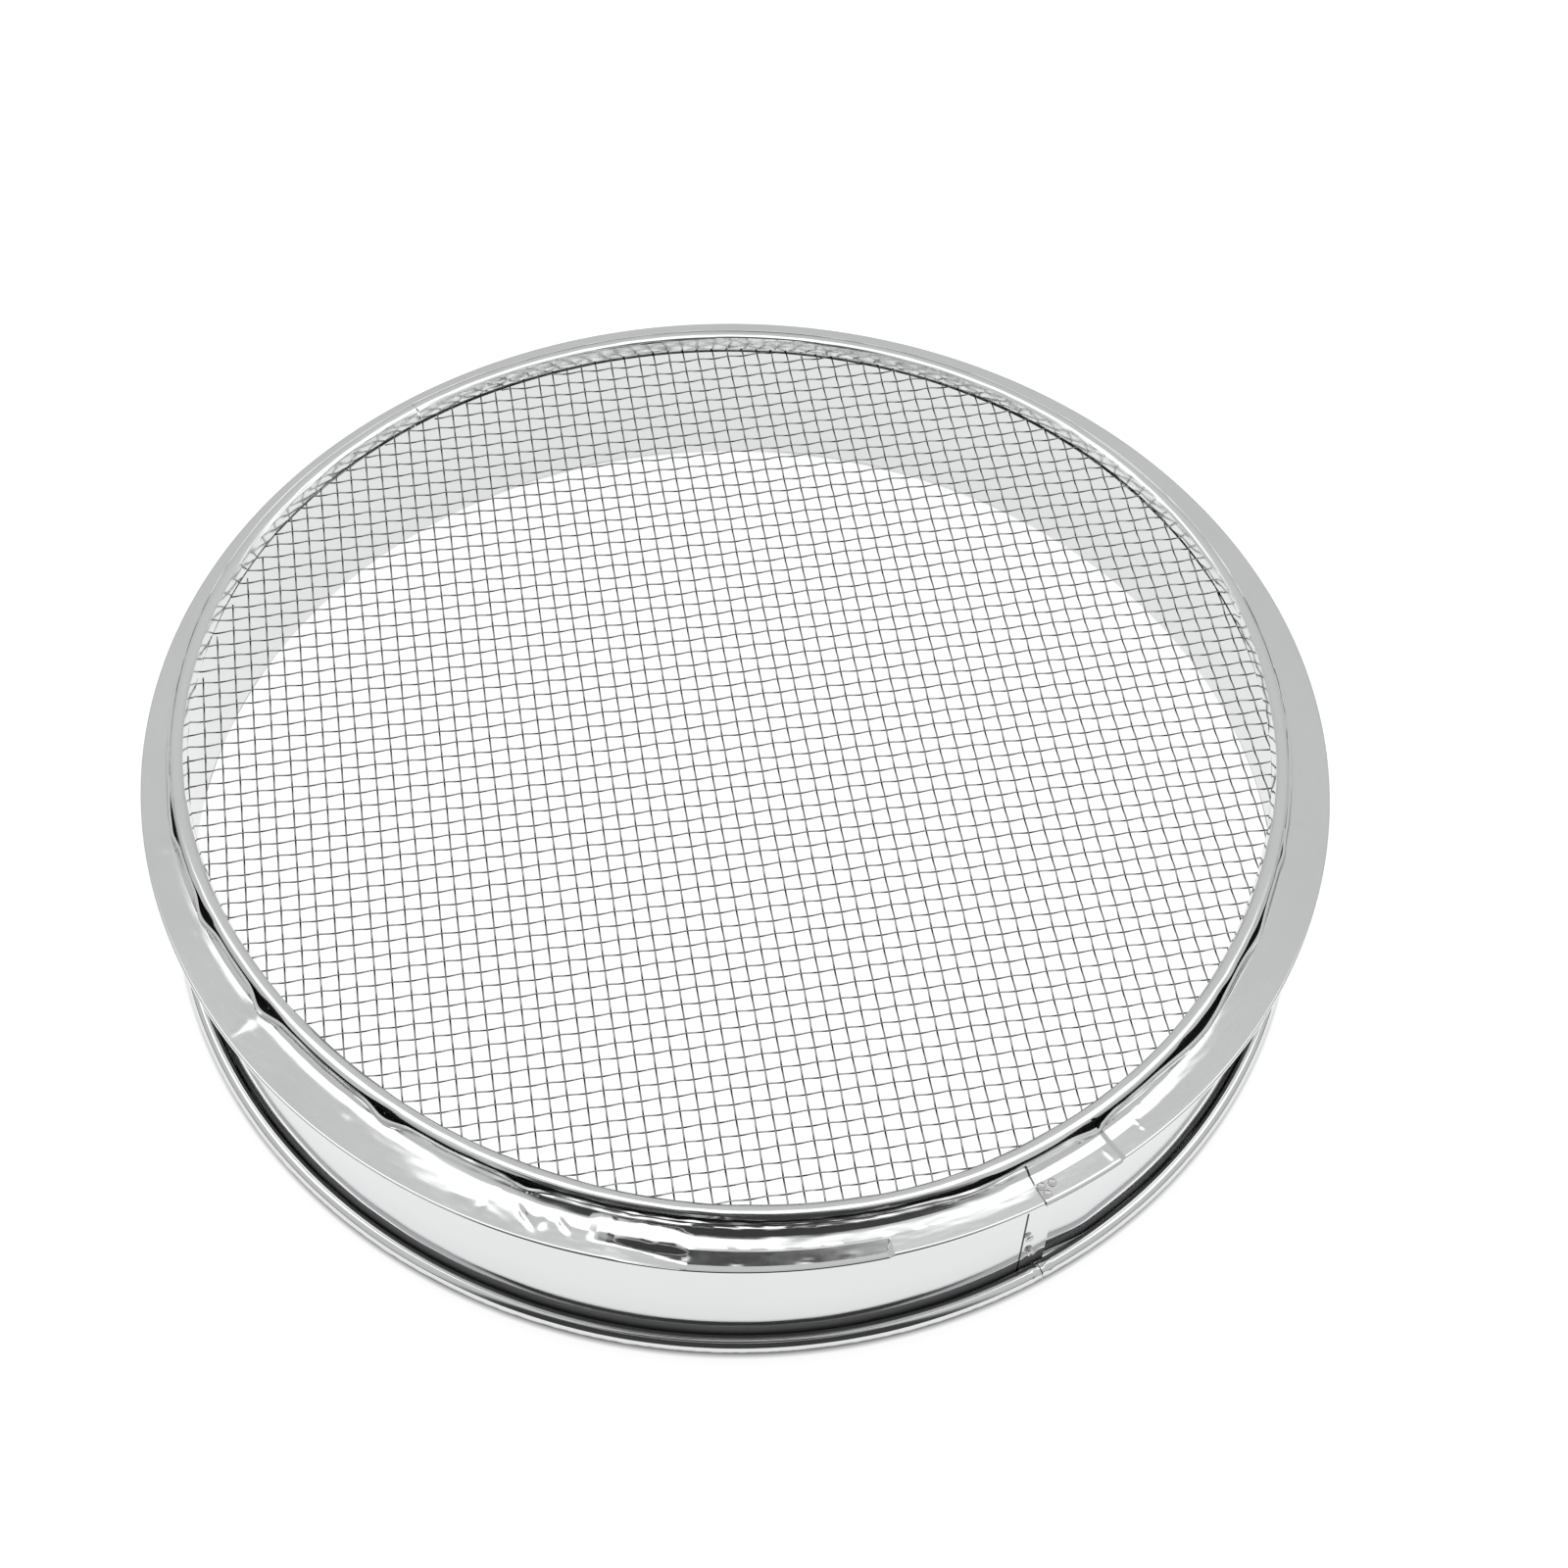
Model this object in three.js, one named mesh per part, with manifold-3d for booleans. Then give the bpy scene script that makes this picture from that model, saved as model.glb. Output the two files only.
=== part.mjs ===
// Round garden soil sieve in stainless steel, standing on its open rolled rim with the mesh on top.
// Millimetres, +Z up, origin at the centre of the circle that the rim rests on.
import * as THREE from "three";
import { mergeVertices } from "three/addons/utils/BufferGeometryUtils.js";
import Module from "manifold-3d";

const wasm = await Module();
wasm.setup();

// Driving dimensions.
const OUTER_DIAMETER = 300; // over the hoop's lip, the widest place
const HEIGHT = 53; // rim to the crest of the retaining ring
const SHEET = 0.6; // thickness of all the sheet metal
const GAP = 0.3; // clearance between neighbouring pieces
const SEGMENTS = 72; // flats round the circle

// Frame band.
const WALL_RADIUS = 144; // outer face of the band
const LEDGE_TOP = 47; // inward ledge that carries the mesh
const LEDGE_WIDTH = 6.2;
const BEND = 0.8; // corner between the band and its ledge
const BEAD_RADIUS = 2.4; // outside of the rolled rim
const BEAD_STEP = 30; // degrees between the corners of the rolled rim
const BEAD_START = 180; // degrees from the outward direction, where the band runs into the rolled rim
const BEAD_END = 480;
const RIM_WIRE_RADIUS = 1.4;

// Woven wire cloth: straight wires in two layers, joined by the edge band that the ring presses flat.
const WIRE = 0.5;
const WARP_PITCH = 4.15;
const WEFT_PITCH = 4.05;
const MESH_TURN = 11; // degrees that the cloth is turned in its frame
const MESH_RADIUS = 139.3;
const MESH_EDGE_RADIUS = 137.4; // inside of the pressed edge band

// Retaining ring: an inverted channel with a flat crest, whose inner leg leans inwards at its foot. The
// radii are those of the middle of its sheet.
const RING_FOOT = 48.9;
const RING_CREST = HEIGHT - SHEET / 2;
const RING_CORNER = 0.7;
const RING_OUTER_RADIUS = 139.3;
const RING_INNER_RADIUS = 136.7;
const RING_RAKE = 0.5;

// Clamp hoop: a lip turned down, a flat brim, a cove and a low upstand round the retaining ring. The
// radii and heights are those of the middle of its sheet.
const HOOP_LIP_RADIUS = OUTER_DIAMETER / 2 - SHEET / 2;
const HOOP_LIP_FOOT = 46.9;
const BRIM_RADIUS = 149.4;
const BRIM_HEIGHT = 47.7;
const COVE_RADIUS = 1.8;
const UPSTAND_RADIUS = 140.2;
const UPSTAND_TOP = 50.6;

// Seams, in degrees round +Z from +X.
const HOOP_SEAM = -60.4;
const WALL_SEAM = -60;
const RIM_SEAM = -58.2;
const RING_SEAM = 131.2;
const JOINT_GAP = 0.4; // between the two ends of a rolled strip
const HOOP_LAP = 20.7; // how far one end lies over the other
const WALL_LAP = 7;
const LAP_MARGIN = 1; // height between the rolled rim and the foot of the wall's lap
const JOGGLE_LENGTH = 1.2;

// Spot welds, as thin tapered buttons a hair clear of the outer face of a lap.
const NUGGET_RADIUS = 1;
const NUGGET_TOP_RADIUS = 0.8;
const NUGGET_HEIGHT = 0.35;
const NUGGET_SIDES = 12;
const NUGGET_LIFT = 0.05;
const HOOP_NUGGETS = {
  hoop_weld_inner: { radius: 145.9, angle: -60 },
  hoop_weld_outer: { radius: 146.2, angle: -58.95 },
  hoop_weld_lip: { radius: 148.2, angle: -59.9 },
};
const WALL_NUGGETS = {
  wall_weld_upper: { height: 19.5, angle: -59.5 },
  wall_weld_lower: { height: 12, angle: -59.1 },
};

// Cutting blocks.
const CUT_DEPTH = 20; // reach across the section of a strip
const CUT_HEIGHT = 4 * HEIGHT; // well over the height of the sieve

const RADIANS = Math.PI / 180;
const polishedSheet = { color: 0xcfd1d2, roughness: 0.2, metalness: 1 };
const drawnWire = { color: 0x8f9193, roughness: 0.35, metalness: 1 };
const weldMetal = { color: 0xb9b9b7, roughness: 0.45, metalness: 1 };

// ---- Outlines ----

// Closed outline of a sheet that follows a path of [radius, height] points along its middle.
function sheetOutline(path, thickness = SHEET) {
  const side = (sign) =>
    path.map(([r, z], i) => {
      const [r0, z0] = path[Math.max(i - 1, 0)];
      const [r1, z1] = path[Math.min(i + 1, path.length - 1)];
      const before = new THREE.Vector2(z0 - z, r - r0).normalize();
      const after = new THREE.Vector2(z - z1, r1 - r).normalize();
      if (i === 0) before.copy(after);
      if (i === path.length - 1) after.copy(before);
      const mitre = before.clone().add(after);
      mitre.multiplyScalar(thickness / 2 / (1 + before.dot(after)));
      return [r + sign * mitre.x, z + sign * mitre.y];
    });
  return [...side(1), ...side(-1).reverse()];
}

// Points on an arc in the radius and height plane, angles in degrees from the outward direction.
function arcPoints([r, z], radius, angles) {
  return angles.map((a) => [r + radius * Math.cos(a * RADIANS), z + radius * Math.sin(a * RADIANS)]);
}

// Angles of the rolled rim's corners, set so that one of its flats faces straight down.
function beadAngles() {
  const angles = [BEAD_START];
  for (let angle = BEAD_START + BEAD_STEP / 2; angle < BEAD_END; angle += BEAD_STEP) angles.push(angle);
  return [...angles, BEAD_END];
}

// ---- Solids ----

// Full ring that turns a closed outline of [radius, height] points round +Z.
function ringGeometry(outline) {
  const area = outline.reduce((sum, [r, z], i) => {
    const [r1, z1] = outline[(i + 1) % outline.length];
    return sum + r * z1 - r1 * z;
  }, 0);
  const ordered = area > 0 ? outline : [...outline].reverse();
  const points = [...ordered, ordered[0]].map(([r, z]) => new THREE.Vector2(r, z));
  return new THREE.LatheGeometry(points, SEGMENTS).rotateX(Math.PI / 2).rotateZ(Math.PI / 2);
}

function toSolid(geometry) {
  const bare = geometry.clone();
  bare.deleteAttribute("normal");
  bare.deleteAttribute("uv");
  const merged = mergeVertices(bare, 1e-3);
  const mesh = new wasm.Mesh({
    numProp: 3,
    vertProperties: merged.attributes.position.array,
    triVerts: new Uint32Array(merged.index.array),
  });
  return new wasm.Manifold(mesh);
}

function toGeometry(solid) {
  const mesh = solid.getMesh();
  const geometry = new THREE.BufferGeometry();
  geometry.setAttribute("position", new THREE.BufferAttribute(mesh.vertProperties, 3));
  geometry.setIndex(new THREE.BufferAttribute(mesh.triVerts, 1));
  const flat = geometry.toNonIndexed();
  flat.computeVertexNormals();
  return flat;
}

// Thin upright block that cuts a ring through at one angle.
function slotSolid(radius, angle, width) {
  const block = new THREE.BoxGeometry(CUT_DEPTH, width, CUT_HEIGHT);
  return toSolid(block.translate(radius, 0, 0).rotateZ(angle * RADIANS));
}

// The stretch of a ring between two angles, less than half a turn apart.
function stretchOf(ring, from, to) {
  const reach = OUTER_DIAMETER;
  const wedge = new THREE.Shape();
  wedge.moveTo(0, 0);
  wedge.lineTo(reach * Math.cos(from * RADIANS), reach * Math.sin(from * RADIANS));
  wedge.lineTo(reach * Math.cos(to * RADIANS), reach * Math.sin(to * RADIANS));
  const block = new THREE.ExtrudeGeometry(wedge, { depth: CUT_HEIGHT, bevelEnabled: false });
  return ring.intersect(toSolid(block.translate(0, 0, -CUT_HEIGHT / 2)));
}

// A rolled strip: one end carries a tongue that lies over the other end. The tongue's free edge is at the
// seam, and past the lap a joggle brings it down to the strip again, just beyond where the strip is cut.
function lappedStrip(outline, tongueOutline, joggleOutline, seam, lap) {
  const middle = tongueOutline.reduce((sum, [r]) => sum + r, 0) / tongueOutline.length;
  const degreesPerMm = 1 / (middle * RADIANS);
  const cut = seam + lap * degreesPerMm;
  const joggleStart = cut + JOINT_GAP * degreesPerMm;
  const joggleEnd = joggleStart + JOGGLE_LENGTH * degreesPerMm;
  const strip = toSolid(ringGeometry(outline)).subtract(slotSolid(middle, cut, JOINT_GAP));
  const tongue = stretchOf(toSolid(ringGeometry(tongueOutline)), seam, joggleEnd);
  const joggle = stretchOf(toSolid(ringGeometry(joggleOutline)), joggleStart, joggleEnd);
  return toGeometry(strip.add(tongue).add(joggle));
}

function cutRing(outline, seam) {
  const middle = outline.reduce((sum, [r]) => sum + r, 0) / outline.length;
  return toGeometry(toSolid(ringGeometry(outline)).subtract(slotSolid(middle, seam, JOINT_GAP)));
}

// ---- Pieces ----

const beadSheetRadius = BEAD_RADIUS - SHEET / 2;
const beadHeight = beadSheetRadius * Math.cos((BEAD_STEP / 2) * RADIANS) + SHEET / 2;
const wallMiddle = WALL_RADIUS - SHEET / 2;
const beadCentre = [wallMiddle + beadSheetRadius, beadHeight];

// Ledge, band and rolled rim in one strip: the sheet goes down inside the core wire, under it and back up.
function frameWall() {
  const ledgeMiddle = LEDGE_TOP - SHEET / 2;
  const path = [
    [WALL_RADIUS - LEDGE_WIDTH, ledgeMiddle],
    [wallMiddle - BEND, ledgeMiddle],
    [wallMiddle, ledgeMiddle - BEND],
    ...arcPoints(beadCentre, beadSheetRadius, beadAngles()),
  ];
  const lapFoot = 2 * beadHeight + LAP_MARGIN;
  const lapTop = LEDGE_TOP - 2 * BEND - SHEET;
  const band = (inner, outer) => [
    [inner, lapFoot],
    [outer, lapFoot],
    [outer, lapTop],
    [inner, lapTop],
  ];
  const lapInner = WALL_RADIUS + GAP;
  const tongue = band(lapInner, lapInner + SHEET);
  const joggle = band(wallMiddle, lapInner + SHEET / 2);
  return lappedStrip(sheetOutline(path), tongue, joggle, WALL_SEAM, WALL_LAP);
}

function rimWire() {
  const outline = arcPoints(beadCentre, RIM_WIRE_RADIUS, [30, 90, 150, 210, 270, 330]);
  return cutRing(outline, RIM_SEAM);
}

function clampHoop() {
  const coveCentre = [UPSTAND_RADIUS + COVE_RADIUS, BRIM_HEIGHT + COVE_RADIUS];
  const path = [
    [HOOP_LIP_RADIUS, HOOP_LIP_FOOT],
    [BRIM_RADIUS, BRIM_HEIGHT],
    ...arcPoints(coveCentre, COVE_RADIUS, [270, 240, 210, 180]),
    [UPSTAND_RADIUS, UPSTAND_TOP],
  ];
  const raisedBrim = (rise) => [
    [BRIM_RADIUS, BRIM_HEIGHT + rise],
    [coveCentre[0], BRIM_HEIGHT + rise],
  ];
  const tongue = sheetOutline(raisedBrim(SHEET + GAP));
  const joggle = sheetOutline(raisedBrim((SHEET + GAP) / 2), SHEET + GAP);
  return lappedStrip(sheetOutline(path), tongue, joggle, HOOP_SEAM, HOOP_LAP);
}

function retainingRing() {
  const path = [
    [RING_OUTER_RADIUS, RING_FOOT],
    [RING_OUTER_RADIUS, RING_CREST - RING_CORNER],
    [RING_OUTER_RADIUS - RING_CORNER, RING_CREST],
    [RING_INNER_RADIUS + RING_CORNER, RING_CREST],
    [RING_INNER_RADIUS, RING_CREST - RING_CORNER],
    [RING_INNER_RADIUS - RING_RAKE, RING_FOOT],
  ];
  return cutRing(sheetOutline(path), RING_SEAM);
}

// One family of wires: straight square wires along Y, one pitch apart, between chords of the edge band.
function wireLayer(pitch) {
  const outline = new THREE.Shape();
  for (let i = 0; i < SEGMENTS; i++) {
    const angle = (i * 2 * Math.PI) / SEGMENTS;
    const place = [MESH_RADIUS * Math.cos(angle), MESH_RADIUS * Math.sin(angle)];
    if (i === 0) outline.moveTo(...place);
    else outline.lineTo(...place);
  }
  const reach = (x) => Math.sqrt(MESH_EDGE_RADIUS ** 2 - x ** 2);
  const addSpace = (near, far) => {
    const space = new THREE.Path();
    space.moveTo(near, -reach(near));
    space.lineTo(far, -reach(far));
    space.lineTo(far, reach(far));
    space.lineTo(near, reach(near));
    outline.holes.push(space);
  };
  for (let near = WIRE / 2; near < MESH_EDGE_RADIUS - 2 * WIRE; near += pitch) {
    const far = Math.min(near + pitch - WIRE, MESH_EDGE_RADIUS - WIRE);
    addSpace(near, far);
    addSpace(-near, -far);
  }
  return new THREE.ExtrudeGeometry(outline, { depth: WIRE, bevelEnabled: false });
}

function nugget() {
  const button = new THREE.CylinderGeometry(NUGGET_TOP_RADIUS, NUGGET_RADIUS, NUGGET_HEIGHT, NUGGET_SIDES);
  return button.rotateX(Math.PI / 2);
}

// ---- Assembly ----

const sieve = new THREE.Group();

function place(name, geometry, look, parent = sieve) {
  const mesh = new THREE.Mesh(geometry, new THREE.MeshStandardMaterial(look));
  mesh.name = name;
  parent.add(mesh);
  return mesh;
}

place("frame_wall", frameWall(), polishedSheet);
place("rim_wire", rimWire(), drawnWire);
place("clamp_hoop", clampHoop(), polishedSheet);
place("retaining_ring", retainingRing(), polishedSheet);

const cloth = new THREE.Group();
cloth.position.z = LEDGE_TOP + GAP;
cloth.rotation.z = MESH_TURN * RADIANS;
sieve.add(cloth);
place("warp_wires", wireLayer(WARP_PITCH), drawnWire, cloth);
const weft = place("weft_wires", wireLayer(WEFT_PITCH), drawnWire, cloth);
weft.rotation.z = Math.PI / 2;
weft.position.z = WIRE + GAP;

// A weld at an angle round the sieve, whose axis tilts from upright (0) to outward (90 degrees).
function placeWeld(name, angle, radius, height, tilt) {
  const turned = new THREE.Group();
  turned.rotation.z = angle * RADIANS;
  sieve.add(turned);
  const weld = place(name, nugget(), weldMetal, turned);
  weld.position.set(radius, 0, height);
  weld.rotation.y = tilt * RADIANS;
}

const nuggetRise = NUGGET_LIFT + NUGGET_HEIGHT / 2;
const hoopLapTop = BRIM_HEIGHT + SHEET + GAP + SHEET / 2;
for (const [name, { radius, angle }] of Object.entries(HOOP_NUGGETS)) {
  placeWeld(name, angle, radius, hoopLapTop + nuggetRise, 0);
}
const wallLapFace = WALL_RADIUS + GAP + SHEET;
for (const [name, { height, angle }] of Object.entries(WALL_NUGGETS)) {
  placeWeld(name, angle, wallLapFace + nuggetRise, height, 90);
}
placeWeld("rim_weld", RIM_SEAM, beadCentre[0] + BEAD_RADIUS + nuggetRise, beadHeight, 90);

export default sieve;
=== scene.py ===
"""Looks of a round stainless-steel soil sieve that stands on its rolled rim with the mesh on top.

Metres, in the CAD frame: +Z up, the camera on the -Y side, angles in degrees round +Z from +X.
"""

import math

import bpy
import numpy as np
from mathutils import Matrix, Vector


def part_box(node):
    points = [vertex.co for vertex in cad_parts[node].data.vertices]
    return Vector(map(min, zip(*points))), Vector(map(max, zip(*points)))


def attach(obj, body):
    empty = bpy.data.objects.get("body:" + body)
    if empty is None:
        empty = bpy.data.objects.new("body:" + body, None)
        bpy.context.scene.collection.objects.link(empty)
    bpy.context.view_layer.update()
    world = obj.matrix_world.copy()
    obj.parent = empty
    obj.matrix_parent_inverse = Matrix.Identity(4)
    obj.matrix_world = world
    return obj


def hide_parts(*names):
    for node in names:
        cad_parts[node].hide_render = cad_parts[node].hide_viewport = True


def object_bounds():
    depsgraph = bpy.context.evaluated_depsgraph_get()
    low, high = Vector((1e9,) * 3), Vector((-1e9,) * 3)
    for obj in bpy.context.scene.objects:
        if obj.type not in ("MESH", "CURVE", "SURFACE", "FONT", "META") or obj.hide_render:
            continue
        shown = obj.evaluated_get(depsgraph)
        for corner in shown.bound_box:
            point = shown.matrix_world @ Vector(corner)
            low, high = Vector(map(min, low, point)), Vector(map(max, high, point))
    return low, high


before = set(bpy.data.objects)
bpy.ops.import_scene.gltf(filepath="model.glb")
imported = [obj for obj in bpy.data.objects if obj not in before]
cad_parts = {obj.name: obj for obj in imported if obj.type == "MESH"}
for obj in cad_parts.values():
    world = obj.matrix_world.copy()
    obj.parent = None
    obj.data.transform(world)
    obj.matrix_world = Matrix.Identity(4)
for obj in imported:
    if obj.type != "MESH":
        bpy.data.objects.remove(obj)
CAD_BOX = [list(corner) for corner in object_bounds()]

MM = 0.001
SHEET = 0.6 * MM
FLOOR_Z = CAD_BOX[0][2]
TURNS = 720  # stations round a full ring
CLOSEST_STATIONS = 0.015  # degrees
SHARP = 35.0  # edges that fold more than this (degrees) stay sharp
FILLET_STEP = 6  # degrees
SAME_POINT = 0.001 * MM
TABLE_STEP = 0.5  # degrees between the levels read from a table of angles
WALL_SPACING, HOOP_SPACING, RING_SPACING = 3.0 * MM, 0.43 * MM, 0.4 * MM  # of points along an outline
CRUMPLE_LENGTHS = (1.2 * MM, 4.0 * MM)

# ---- Sizes taken from the frame ----

_, wall_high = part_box("frame_wall")
hoop_low, hoop_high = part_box("clamp_hoop")
ring_low, ring_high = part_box("retaining_ring")
warp_low, warp_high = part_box("warp_wires")
_, weft_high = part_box("weft_wires")

BEAD_RADIUS = 2.33 * MM
BEAD_CENTRE = (wall_high.x - BEAD_RADIUS, FLOOR_Z + BEAD_RADIUS)
BEAD_MIDDLE = BEAD_RADIUS - SHEET / 2
WALL_MIDDLE = BEAD_CENTRE[0] - BEAD_MIDDLE
LEDGE_MIDDLE = wall_high.z - SHEET / 2
LEDGE_RADIUS = ring_high.x - 3.4 * MM
LEDGE_WIDTH = WALL_MIDDLE - LEDGE_RADIUS
LIP_RADIUS = hoop_high.x - SHEET / 2
HOOP_TOP = hoop_high.z - 0.1 * MM
RING_OUTER = ring_high.x - SHEET / 2
RING_CREST = ring_high.z - SHEET / 2 - 0.15 * MM
RING_WIDTH = 2.6 * MM
RING_RAKE = 0.8 * MM
RING_FOOT = ring_low.z
CLOTH_RADIUS = warp_high.x - 1.0 * MM
CLOTH_Z = (warp_low.z + weft_high.z) / 2

BRIM_MIDDLE = hoop_low.z + 0.85 * MM
BRIM_WIDTH = 9.5 * MM
LIP_Z = hoop_low.z + 0.32 * MM

# Angles of the joints, lengths of the laps and of the slopes where a lap's upper layer comes down.
HOOP_SEAM = -60.4
WALL_SEAM = -60.0
RIM_SEAM = -58.2
RING_SEAM = 131.2
HOOP_LAP, HOOP_LAP_SLOPE = 20.7 * MM, 2.0 * MM
WALL_LAP, WALL_LAP_SLOPE = 7.0 * MM, 14.0 * MM
LAYER_STEP = SHEET + 0.06 * MM


# ---- Small maths ----


def smoothstep(x):
    x = np.clip(x, 0.0, 1.0)
    return x * x * (3.0 - 2.0 * x)


def bump(x, width):
    """A round hump of height 1 at 0 that fades out at about width."""
    return np.exp(-((x / width) ** 2))


def angle_between(a, b):
    """Signed difference of two angles in degrees, from -180 to 180."""
    return (a - b + 180.0) % 360.0 - 180.0


def ripple(angles, lowest, highest, seed):
    """Smooth noise round the circle, about -1 to 1, made of lowest to highest waves per turn."""
    rng = np.random.default_rng(seed)
    waves = np.arange(lowest, highest + 1)
    sizes = rng.normal(size=waves.size) / np.sqrt(waves.size)
    phases = rng.uniform(0, 2 * math.pi, waves.size)
    turned = np.radians(angles)[:, None] * waves[None, :] + phases[None, :]
    return (np.cos(turned) * sizes[None, :]).sum(axis=1)


def waviness(angles, waves):
    """The sum of ripples (height in mm, lowest, highest, seed), in metres."""
    return sum(height * MM * ripple(angles, *rest) for height, *rest in waves)


def smooth_between(known, angles, blur=12.0):
    """A curve through (angle, level) pairs round the circle, smoothed over about blur degrees."""
    known = np.array(known, dtype=float)
    known = np.vstack([known - [360, 0], known, known + [360, 0]])
    known = known[np.argsort(known[:, 0])]
    fine = np.arange(-540.0, 540.0, TABLE_STEP)
    level = np.interp(fine, known[:, 0], known[:, 1])
    window = np.hanning(int(2 * blur / TABLE_STEP) + 3)
    level = np.convolve(level, window / window.sum(), mode="same")
    turned = (np.asarray(angles) + 180.0) % 360.0 - 180.0
    return np.interp(turned, fine, level)


def crumple(angles, lengths, height, waves, seed, count=40):
    """Uneven ripples over a strip, in metres: height is in mm, waves is the lowest and highest number per
    turn, and lengths holds the distances across the strip."""
    rng = np.random.default_rng(seed)
    total = np.zeros((len(angles), len(lengths)))
    for _ in range(count):
        turned = np.radians(angles) * int(rng.integers(*waves)) + rng.uniform(0, 2 * math.pi)
        across = lengths * 2 * math.pi / rng.uniform(*CRUMPLE_LENGTHS) * rng.choice([-1, 1])
        total += np.cos(turned[:, None] + across[None, :])
    return height * MM * (total / math.sqrt(count / 2))


# How far the hand-fitted ring is pushed outwards (mm) at angles round the sieve.
RING_PUSH = [
    (-180, 3.3), (-170, 2.4), (-160, 1.0), (-150, -0.9), (-140, -2.1), (-124, -2.7), (-105, -1.9),
    (-88, -0.7), (-68, 0.5), (-50, -0.5), (-25, -1.6), (-10, -1.2), (0, -0.4), (30, 1.6), (60, 2.8),
    (90, 2.8), (115, 3.2), (135, 4.5), (150, 5.0), (162, 4.9), (172, 4.1),
]


def ring_push(angles):
    return smooth_between(RING_PUSH, angles) * MM


# ---- Outlines ----


def arc(centre, radius, start, end, step):
    """Points on an arc, about step degrees apart."""
    count = max(2, int(abs(end - start) / step) + 1)
    turned = np.radians(np.linspace(start, end, count))
    return [(centre[0] + radius * math.cos(a), centre[1] + radius * math.sin(a)) for a in turned]


def rounded_path(corners, spacing):
    """A path through (radius, height, fillet) corners, with curves in the corners and points along the
    straights."""
    points = [np.array(c[:2]) for c in corners]
    path = [points[0]]
    for before, here, after, corner in zip(points, points[1:], points[2:], corners[1:-1]):
        into = (here - before) / np.linalg.norm(here - before)
        out = (after - here) / np.linalg.norm(after - here)
        turn = math.acos(np.clip(into @ out, -1, 1))
        reach = corner[2] * math.tan(turn / 2) if corner[2] else 0.0
        steps = max(2, int(math.degrees(turn) / FILLET_STEP) + 1)
        for share in np.linspace(0, 1, steps):
            eased = (1 - share) ** 2 * (here - into * reach) + share**2 * (here + out * reach)
            path.append(eased + 2 * share * (1 - share) * here)
    path.append(points[-1])
    filled = [path[0]]
    for point in path[1:]:
        gap = np.linalg.norm(point - filled[-1])
        start = filled[-1]
        if gap < SAME_POINT:
            continue
        pieces = max(1, math.ceil(gap / spacing))
        filled += [start + (point - start) * (k / pieces) for k in range(1, pieces + 1)]
    return np.array(filled)


def path_lengths(path):
    """Distance of each point from the path's start."""
    return np.concatenate([[0], np.cumsum(np.linalg.norm(np.diff(path, axis=0), axis=1))])


def normals_of(middles):
    """Unit normals of the outlines in a (stations, points, 2) array, to the left of their direction."""
    along = np.gradient(middles, axis=1)
    along /= np.linalg.norm(along, axis=2)[:, :, None]
    return np.stack([-along[:, :, 1], along[:, :, 0]], axis=-1)


def repeated(path, angles):
    """The same outline at every station."""
    return np.repeat(path[None, :, :], len(angles), axis=0)


def stood_off(middles, away):
    """Outlines moved along their normals."""
    return middles + normals_of(middles) * away[:, :, None]


def stations(seam, extra_from, extra_to, fine):
    """Angles of a sweep that starts at the seam and goes once round. Fine lists stretches with closer
    stations as (middle, half width, step)."""
    full = np.linspace(seam + extra_from, seam + 360.0 + extra_to, TURNS + 1)
    added = [full]
    for centre, half_width, step in fine:
        for turn in (0.0, 360.0):
            near = np.arange(centre - half_width, centre + half_width, step) + turn
            added.append(near[(near > full[0]) & (near < full[-1])])
    angles = np.unique(np.round(np.concatenate(added), 4))
    keep = np.concatenate([[True], np.diff(angles) > CLOSEST_STATIONS])
    return angles[keep]


# ---- Mesh making ----


def mesh_object(name, vertices, faces, material, sharp=SHARP):
    mesh = bpy.data.meshes.new(name)
    mesh.from_pydata(np.asarray(vertices).tolist(), [], faces)
    mesh.validate()
    mesh.shade_smooth()
    mesh.set_sharp_from_angle(angle=math.radians(sharp))
    mesh.materials.append(material)
    made = bpy.data.objects.new(name, mesh)
    bpy.context.scene.collection.objects.link(made)
    return made


def smooth_zone(piece, first, last, sharp):
    """Shades a piece smoothly between two angles, except at folds steeper than sharp."""
    mesh = piece.data
    count = len(mesh.edges)
    everywhere, zone = np.zeros(count, dtype=bool), np.zeros(count, dtype=bool)
    mesh.attributes["sharp_edge"].data.foreach_get("value", everywhere)
    mesh.set_sharp_from_angle(angle=math.radians(sharp))
    mesh.attributes["sharp_edge"].data.foreach_get("value", zone)
    ends = np.zeros(2 * count, dtype=np.int32)
    mesh.edges.foreach_get("vertices", ends)
    places = np.zeros(3 * len(mesh.vertices), dtype=np.float32)
    mesh.vertices.foreach_get("co", places)
    starts = places.reshape(-1, 3)[ends[::2]]
    angle = np.degrees(np.arctan2(starts[:, 1], starts[:, 0]))
    flags = np.where((angle > first) & (angle < last), zone, everywhere)
    mesh.attributes["sharp_edge"].data.foreach_set("value", flags)


def grid_faces(rows, columns):
    """Quads of a grid of rows by columns, with the columns closed into a loop."""
    row, column = np.meshgrid(np.arange(rows - 1), np.arange(columns), indexing="ij")
    here, there = row * columns, (row + 1) * columns
    after = (column + 1) % columns
    quads = np.stack([here + column, there + column, there + after, here + after], axis=-1)
    return quads.reshape(-1, 4)


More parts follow.
